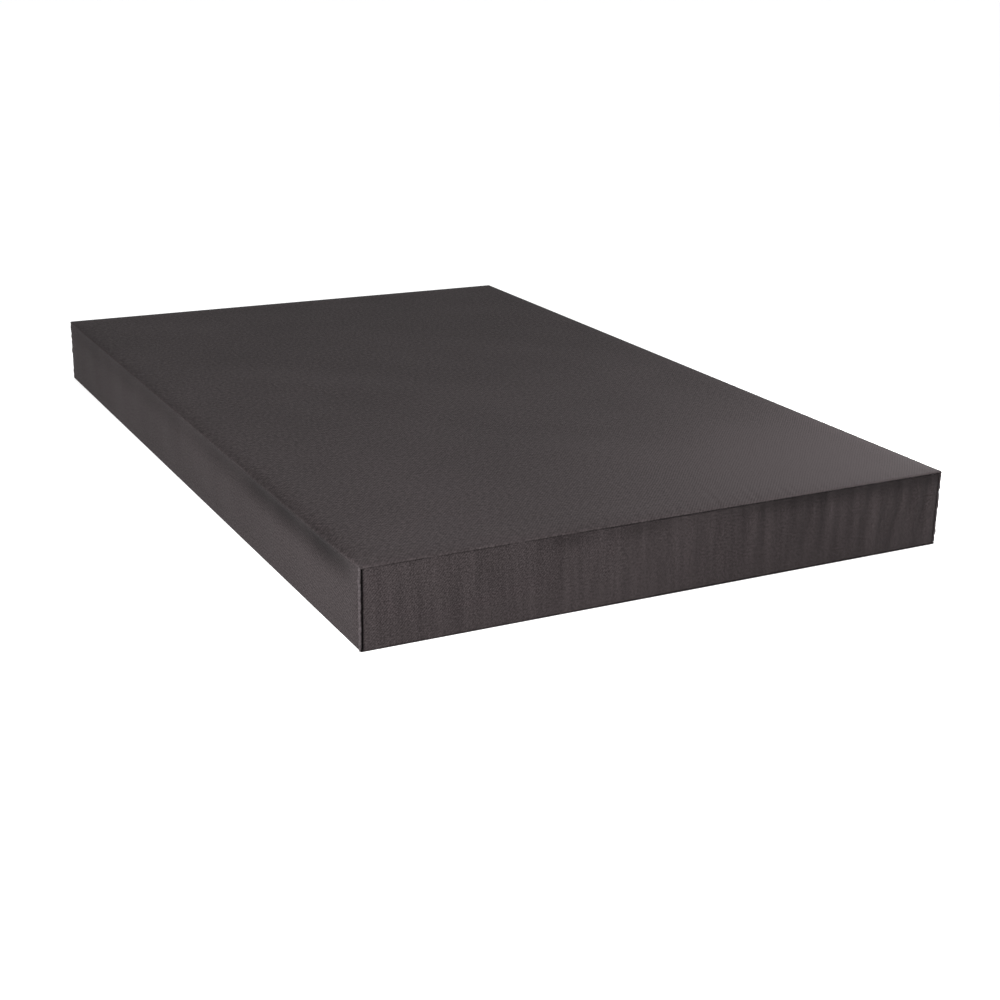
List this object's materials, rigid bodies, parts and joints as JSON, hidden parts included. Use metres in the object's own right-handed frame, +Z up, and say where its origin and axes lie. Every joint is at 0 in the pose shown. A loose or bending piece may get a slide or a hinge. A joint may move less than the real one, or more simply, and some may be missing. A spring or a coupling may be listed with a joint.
{
  "type": "futon mattress",
  "caption": "Flat rectangular futon mattress in a plain dark zip-off twill cover, with foam, cotton and fibre layers inside, folding along its middle into a seat and a back.",
  "frame": {"origin": "under the middle of the mattress, on the surface it lies on", "axes": "+X across the mattress from the seat half to the back half, which has the zip; +Y along its length; +Z up, out of the sleeping face"},
  "size_m": [1.2, 1.9, 0.15],
  "materials": {
    "cover_twill": "charcoal cotton-polyester twill, matt with a soft sheen",
    "seam_thread": "pinched twill seam sewn with matching thread",
    "zip_tape_cloth": "woven polyester tape",
    "zip_coil_nylon": "semi-matt nylon",
    "zip_metal": "gunmetal enamel on die-cast zinc",
    "label_satin": "white satin ribbon, blank",
    "casing_knit": "undyed knitted sock",
    "edge_fibre": "bonded polyester fibre",
    "pad_fibre": "soft white polyester wadding",
    "cotton_felt": "felted raw cotton",
    "foam": "open-cell polyurethane foam"
  },
  "bodies": {
    "seat_half": {"cover_top_seat": "cover_twill", "cover_bottom_seat": "cover_twill", "border_left": "cover_twill", "border_front_seat": "cover_twill", "border_rear_seat": "cover_twill", "corner_seam_front_left": "seam_thread", "corner_seam_rear_left": "seam_thread", "casing_top_seat": "casing_knit", "casing_bottom_seat": "casing_knit", "casing_border_left": "casing_knit", "casing_border_front_seat": "casing_knit", "casing_border_rear_seat": "casing_knit", "edge_batting_left": "edge_fibre", "edge_batting_front_seat": "edge_fibre", "edge_batting_rear_seat": "edge_fibre", "fibre_pad_top_seat": "pad_fibre", "fibre_pad_bottom_seat": "pad_fibre", "cotton_batt_top_seat": "cotton_felt", "cotton_batt_bottom_seat": "cotton_felt", "foam_core_seat": "foam"},
    "back_half": {"cover_top_back": "cover_twill", "cover_bottom_back": "cover_twill", "border_front_back": "cover_twill", "border_rear_back": "cover_twill", "zip_border_upper": "cover_twill", "zip_border_lower": "cover_twill", "corner_seam_front_right": "seam_thread", "corner_seam_rear_right": "seam_thread", "casing_top_back": "casing_knit", "casing_bottom_back": "casing_knit", "casing_border_right": "casing_knit", "casing_border_front_back": "casing_knit", "casing_border_rear_back": "casing_knit", "edge_batting_right": "edge_fibre", "edge_batting_front_back": "edge_fibre", "edge_batting_rear_back": "edge_fibre", "fibre_pad_top_back": "pad_fibre", "fibre_pad_bottom_back": "pad_fibre", "cotton_batt_top_back": "cotton_felt", "cotton_batt_bottom_back": "cotton_felt", "foam_core_back": "foam", "zip_tape_upper": "zip_tape_cloth", "zip_tape_lower": "zip_tape_cloth", "zip_coil_upper": "zip_coil_nylon", "zip_coil_lower": "zip_coil_nylon", "zip_stop_closed": "zip_metal", "zip_stop_open": "zip_metal", "care_label": "label_satin"},
    "zip_slider": {"zip_slider": "zip_metal"},
    "zip_pull": {"zip_pull": "zip_metal"}
  },
  "joints": [
    {"name": "fold", "type": "hinge", "parent": "seat_half", "child": "back_half", "pos_m": [0, 0, 0.15], "axis": [0, -1, 0], "range_deg": [0, 75]},
    {"name": "zip_travel", "type": "slide", "parent": "back_half", "child": "zip_slider", "axis": [0, -1, 0], "range_m": [0, 1.68]},
    {"name": "pull_swing", "type": "hinge", "parent": "zip_slider", "child": "zip_pull", "pos_m": [0.5923, 0.84, 0.075], "axis": [0, 0, 1], "range_deg": [0, 170]}
  ]
}
